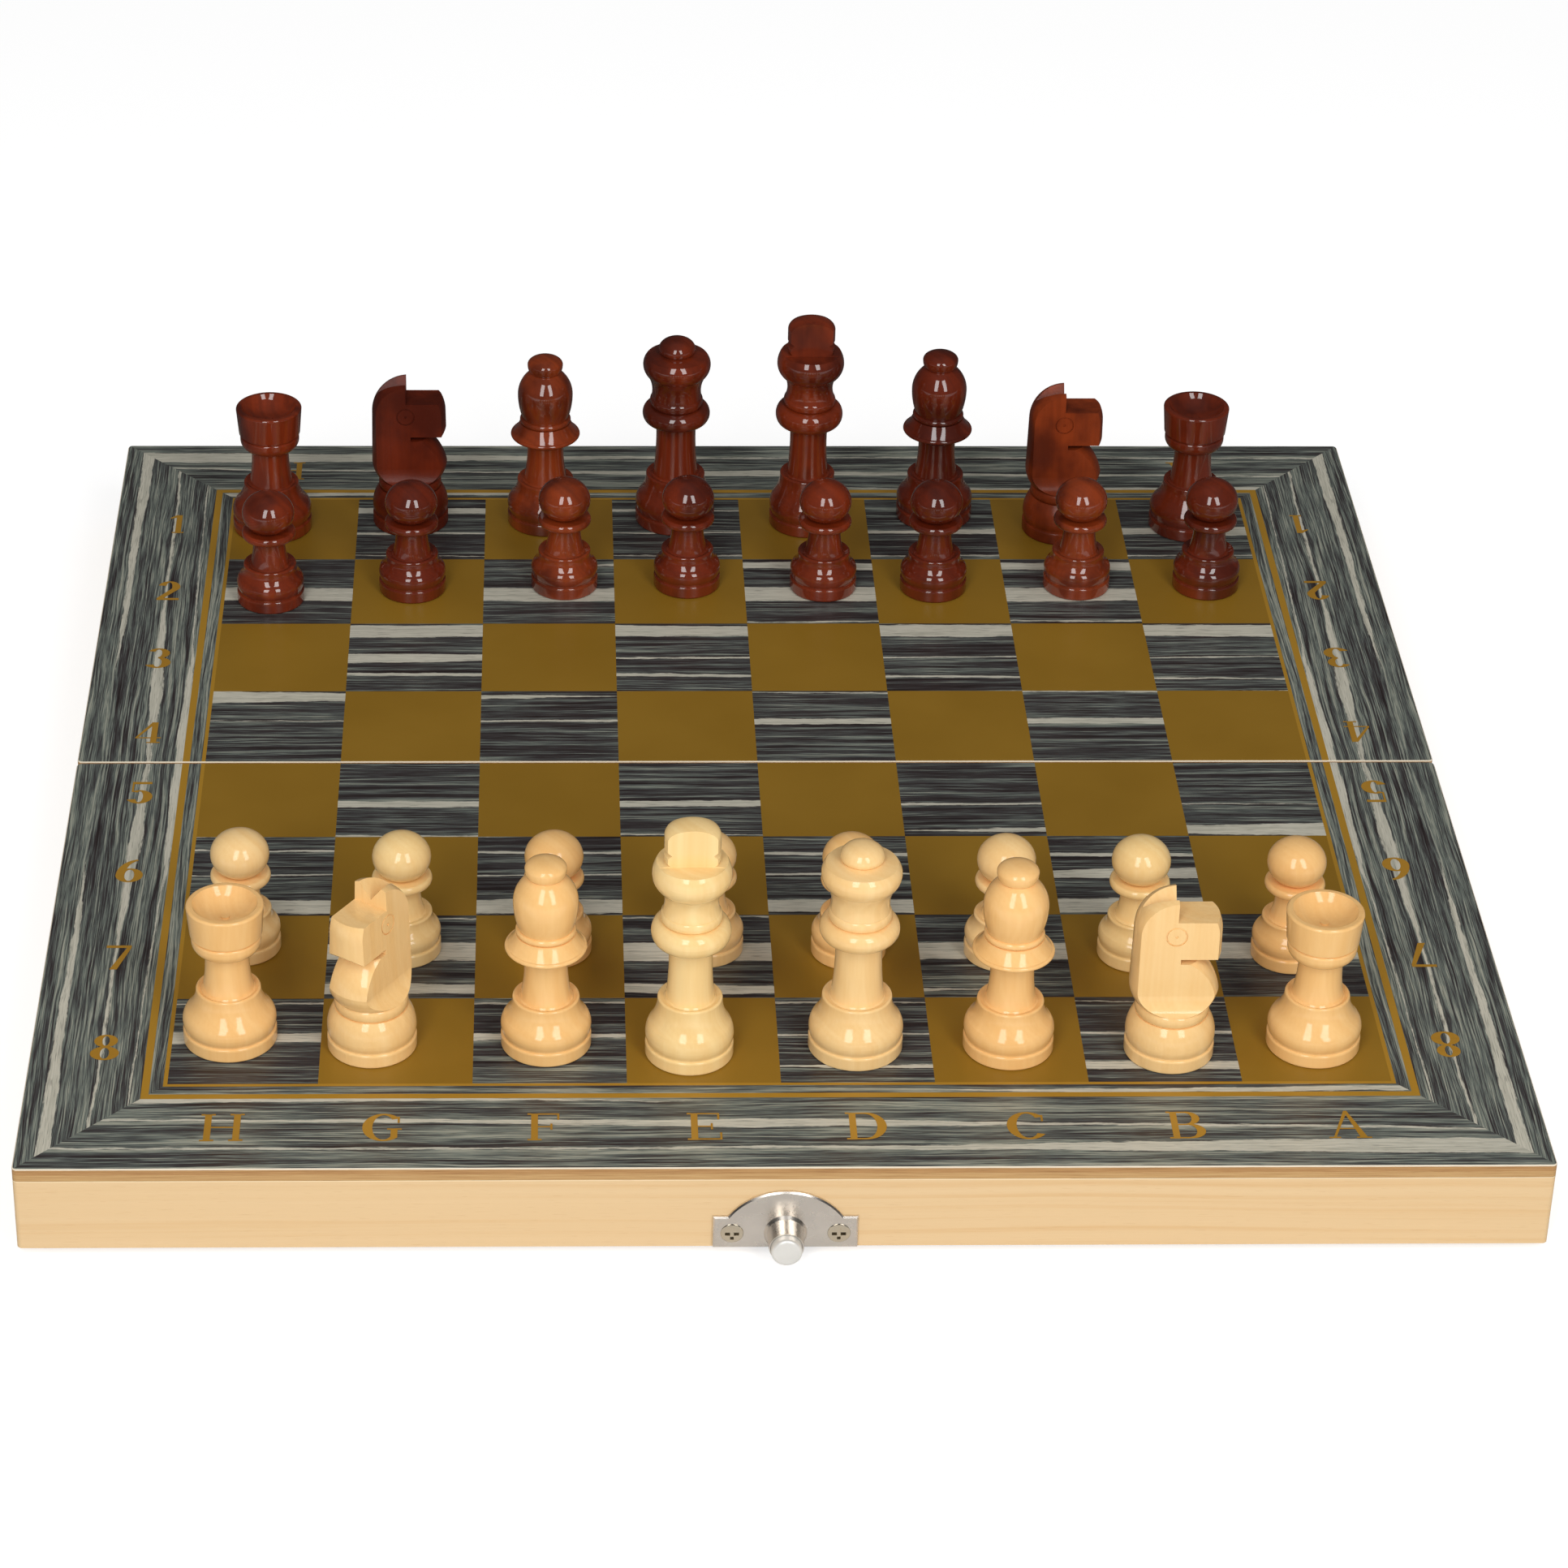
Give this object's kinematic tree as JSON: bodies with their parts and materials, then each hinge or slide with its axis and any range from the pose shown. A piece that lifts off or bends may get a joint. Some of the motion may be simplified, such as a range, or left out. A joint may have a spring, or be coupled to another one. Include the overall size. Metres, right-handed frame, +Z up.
{
  "type": "folding chess box",
  "caption": "Folding wooden chess box opened flat as a board, with push-button catch, strike plate, hinges and a full set of turned chessmen standing on it.",
  "frame": {"origin": "middle of the seam between the two halves, at the height of the rims that the open box stands on", "axes": "+X to the right along the seam seen from the catch side, +Y from the catch half to the strike half, +Z up out of the playing surface"},
  "size_m": [0.29, 0.2984, 0.073],
  "materials": {
    "printed_board": "satin",
    "pine": "matte",
    "light_wood": "gloss",
    "dark_wood": "gloss",
    "nickel": "satin",
    "spring_steel": "satin"
  },
  "bodies": {
    "front_half": {"front_panel": "printed_board", "front_outer_rail": "pine", "front_mid_rail": "pine", "front_left_rail": "pine", "front_right_rail": "pine", "hinge_left_front_leaf": "nickel", "hinge_left_pin": "nickel", "hinge_right_front_leaf": "nickel", "hinge_right_pin": "nickel", "hinge_screws_front": "nickel", "catch_plate": "nickel", "catch_spring": "spring_steel", "catch_screws": "nickel"},
    "rear_half": {"rear_panel": "printed_board", "rear_outer_rail": "pine", "rear_mid_rail": "pine", "rear_left_rail": "pine", "rear_right_rail": "pine", "hinge_left_rear_leaf": "nickel", "hinge_right_rear_leaf": "nickel", "hinge_screws_rear": "nickel", "strike_plate": "nickel", "strike_screws": "nickel"},
    "catch_button": {"catch_button": "nickel", "catch_bar": "nickel"},
    "dark_bishop_left": {"dark_bishop_left": "dark_wood"},
    "dark_bishop_right": {"dark_bishop_right": "dark_wood"},
    "dark_king": {"dark_king": "dark_wood"},
    "dark_knight_left": {"dark_knight_left": "dark_wood"},
    "dark_knight_right": {"dark_knight_right": "dark_wood"},
    "dark_pawn_1": {"dark_pawn_1": "dark_wood"},
    "dark_pawn_2": {"dark_pawn_2": "dark_wood"},
    "dark_pawn_3": {"dark_pawn_3": "dark_wood"},
    "dark_pawn_4": {"dark_pawn_4": "dark_wood"},
    "dark_pawn_5": {"dark_pawn_5": "dark_wood"},
    "dark_pawn_6": {"dark_pawn_6": "dark_wood"},
    "dark_pawn_7": {"dark_pawn_7": "dark_wood"},
    "dark_pawn_8": {"dark_pawn_8": "dark_wood"},
    "dark_queen": {"dark_queen": "dark_wood"},
    "dark_rook_left": {"dark_rook_left": "dark_wood"},
    "dark_rook_right": {"dark_rook_right": "dark_wood"},
    "light_bishop_left": {"light_bishop_left": "light_wood"},
    "light_bishop_right": {"light_bishop_right": "light_wood"},
    "light_king": {"light_king": "light_wood"},
    "light_knight_left": {"light_knight_left": "light_wood"},
    "light_knight_right": {"light_knight_right": "light_wood"},
    "light_pawn_1": {"light_pawn_1": "light_wood"},
    "light_pawn_2": {"light_pawn_2": "light_wood"},
    "light_pawn_3": {"light_pawn_3": "light_wood"},
    "light_pawn_4": {"light_pawn_4": "light_wood"},
    "light_pawn_5": {"light_pawn_5": "light_wood"},
    "light_pawn_6": {"light_pawn_6": "light_wood"},
    "light_pawn_7": {"light_pawn_7": "light_wood"},
    "light_pawn_8": {"light_pawn_8": "light_wood"},
    "light_queen": {"light_queen": "light_wood"},
    "light_rook_left": {"light_rook_left": "light_wood"},
    "light_rook_right": {"light_rook_right": "light_wood"}
  },
  "joints": [
    {"name": "box_fold", "type": "hinge", "parent": "front_half", "child": "rear_half", "pos_m": [0, 0, -0.00015], "axis": [-1, 0, 0], "range_deg": [0, 180]},
    {"name": "catch_press", "type": "slide", "parent": "front_half", "child": "catch_button", "axis": [0, 1, 0], "range_m": [0, 0.0013], "stiffness_N_per_m": 300, "springref_m": -0.001, "deforming": ["catch_spring"]},
    {"name": "dark_bishop_left_lift", "type": "slide", "parent": "rear_half", "child": "dark_bishop_left", "axis": [0, 0, 1], "range_m": [0, 0.07]},
    {"name": "dark_bishop_right_lift", "type": "slide", "parent": "rear_half", "child": "dark_bishop_right", "axis": [0, 0, 1], "range_m": [0, 0.07]},
    {"name": "dark_king_lift", "type": "slide", "parent": "rear_half", "child": "dark_king", "axis": [0, 0, 1], "range_m": [0, 0.07]},
    {"name": "dark_knight_left_lift", "type": "slide", "parent": "rear_half", "child": "dark_knight_left", "axis": [0, 0, 1], "range_m": [0, 0.07]},
    {"name": "dark_knight_right_lift", "type": "slide", "parent": "rear_half", "child": "dark_knight_right", "axis": [0, 0, 1], "range_m": [0, 0.07]},
    {"name": "dark_pawn_1_lift", "type": "slide", "parent": "rear_half", "child": "dark_pawn_1", "axis": [0, 0, 1], "range_m": [0, 0.07]},
    {"name": "dark_pawn_2_lift", "type": "slide", "parent": "rear_half", "child": "dark_pawn_2", "axis": [0, 0, 1], "range_m": [0, 0.07]},
    {"name": "dark_pawn_3_lift", "type": "slide", "parent": "rear_half", "child": "dark_pawn_3", "axis": [0, 0, 1], "range_m": [0, 0.07]},
    {"name": "dark_pawn_4_lift", "type": "slide", "parent": "rear_half", "child": "dark_pawn_4", "axis": [0, 0, 1], "range_m": [0, 0.07]},
    {"name": "dark_pawn_5_lift", "type": "slide", "parent": "rear_half", "child": "dark_pawn_5", "axis": [0, 0, 1], "range_m": [0, 0.07]},
    {"name": "dark_pawn_6_lift", "type": "slide", "parent": "rear_half", "child": "dark_pawn_6", "axis": [0, 0, 1], "range_m": [0, 0.07]},
    {"name": "dark_pawn_7_lift", "type": "slide", "parent": "rear_half", "child": "dark_pawn_7", "axis": [0, 0, 1], "range_m": [0, 0.07]},
    {"name": "dark_pawn_8_lift", "type": "slide", "parent": "rear_half", "child": "dark_pawn_8", "axis": [0, 0, 1], "range_m": [0, 0.07]},
    {"name": "dark_queen_lift", "type": "slide", "parent": "rear_half", "child": "dark_queen", "axis": [0, 0, 1], "range_m": [0, 0.07]},
    {"name": "dark_rook_left_lift", "type": "slide", "parent": "rear_half", "child": "dark_rook_left", "axis": [0, 0, 1], "range_m": [0, 0.07]},
    {"name": "dark_rook_right_lift", "type": "slide", "parent": "rear_half", "child": "dark_rook_right", "axis": [0, 0, 1], "range_m": [0, 0.07]},
    {"name": "light_bishop_left_lift", "type": "slide", "parent": "front_half", "child": "light_bishop_left", "axis": [0, 0, 1], "range_m": [0, 0.07]},
    {"name": "light_bishop_right_lift", "type": "slide", "parent": "front_half", "child": "light_bishop_right", "axis": [0, 0, 1], "range_m": [0, 0.07]},
    {"name": "light_king_lift", "type": "slide", "parent": "front_half", "child": "light_king", "axis": [0, 0, 1], "range_m": [0, 0.07]},
    {"name": "light_knight_left_lift", "type": "slide", "parent": "front_half", "child": "light_knight_left", "axis": [0, 0, 1], "range_m": [0, 0.07]},
    {"name": "light_knight_right_lift", "type": "slide", "parent": "front_half", "child": "light_knight_right", "axis": [0, 0, 1], "range_m": [0, 0.07]},
    {"name": "light_pawn_1_lift", "type": "slide", "parent": "front_half", "child": "light_pawn_1", "axis": [0, 0, 1], "range_m": [0, 0.07]},
    {"name": "light_pawn_2_lift", "type": "slide", "parent": "front_half", "child": "light_pawn_2", "axis": [0, 0, 1], "range_m": [0, 0.07]},
    {"name": "light_pawn_3_lift", "type": "slide", "parent": "front_half", "child": "light_pawn_3", "axis": [0, 0, 1], "range_m": [0, 0.07]},
    {"name": "light_pawn_4_lift", "type": "slide", "parent": "front_half", "child": "light_pawn_4", "axis": [0, 0, 1], "range_m": [0, 0.07]},
    {"name": "light_pawn_5_lift", "type": "slide", "parent": "front_half", "child": "light_pawn_5", "axis": [0, 0, 1], "range_m": [0, 0.07]},
    {"name": "light_pawn_6_lift", "type": "slide", "parent": "front_half", "child": "light_pawn_6", "axis": [0, 0, 1], "range_m": [0, 0.07]},
    {"name": "light_pawn_7_lift", "type": "slide", "parent": "front_half", "child": "light_pawn_7", "axis": [0, 0, 1], "range_m": [0, 0.07]},
    {"name": "light_pawn_8_lift", "type": "slide", "parent": "front_half", "child": "light_pawn_8", "axis": [0, 0, 1], "range_m": [0, 0.07]},
    {"name": "light_queen_lift", "type": "slide", "parent": "front_half", "child": "light_queen", "axis": [0, 0, 1], "range_m": [0, 0.07]},
    {"name": "light_rook_left_lift", "type": "slide", "parent": "front_half", "child": "light_rook_left", "axis": [0, 0, 1], "range_m": [0, 0.07]},
    {"name": "light_rook_right_lift", "type": "slide", "parent": "front_half", "child": "light_rook_right", "axis": [0, 0, 1], "range_m": [0, 0.07]}
  ]
}
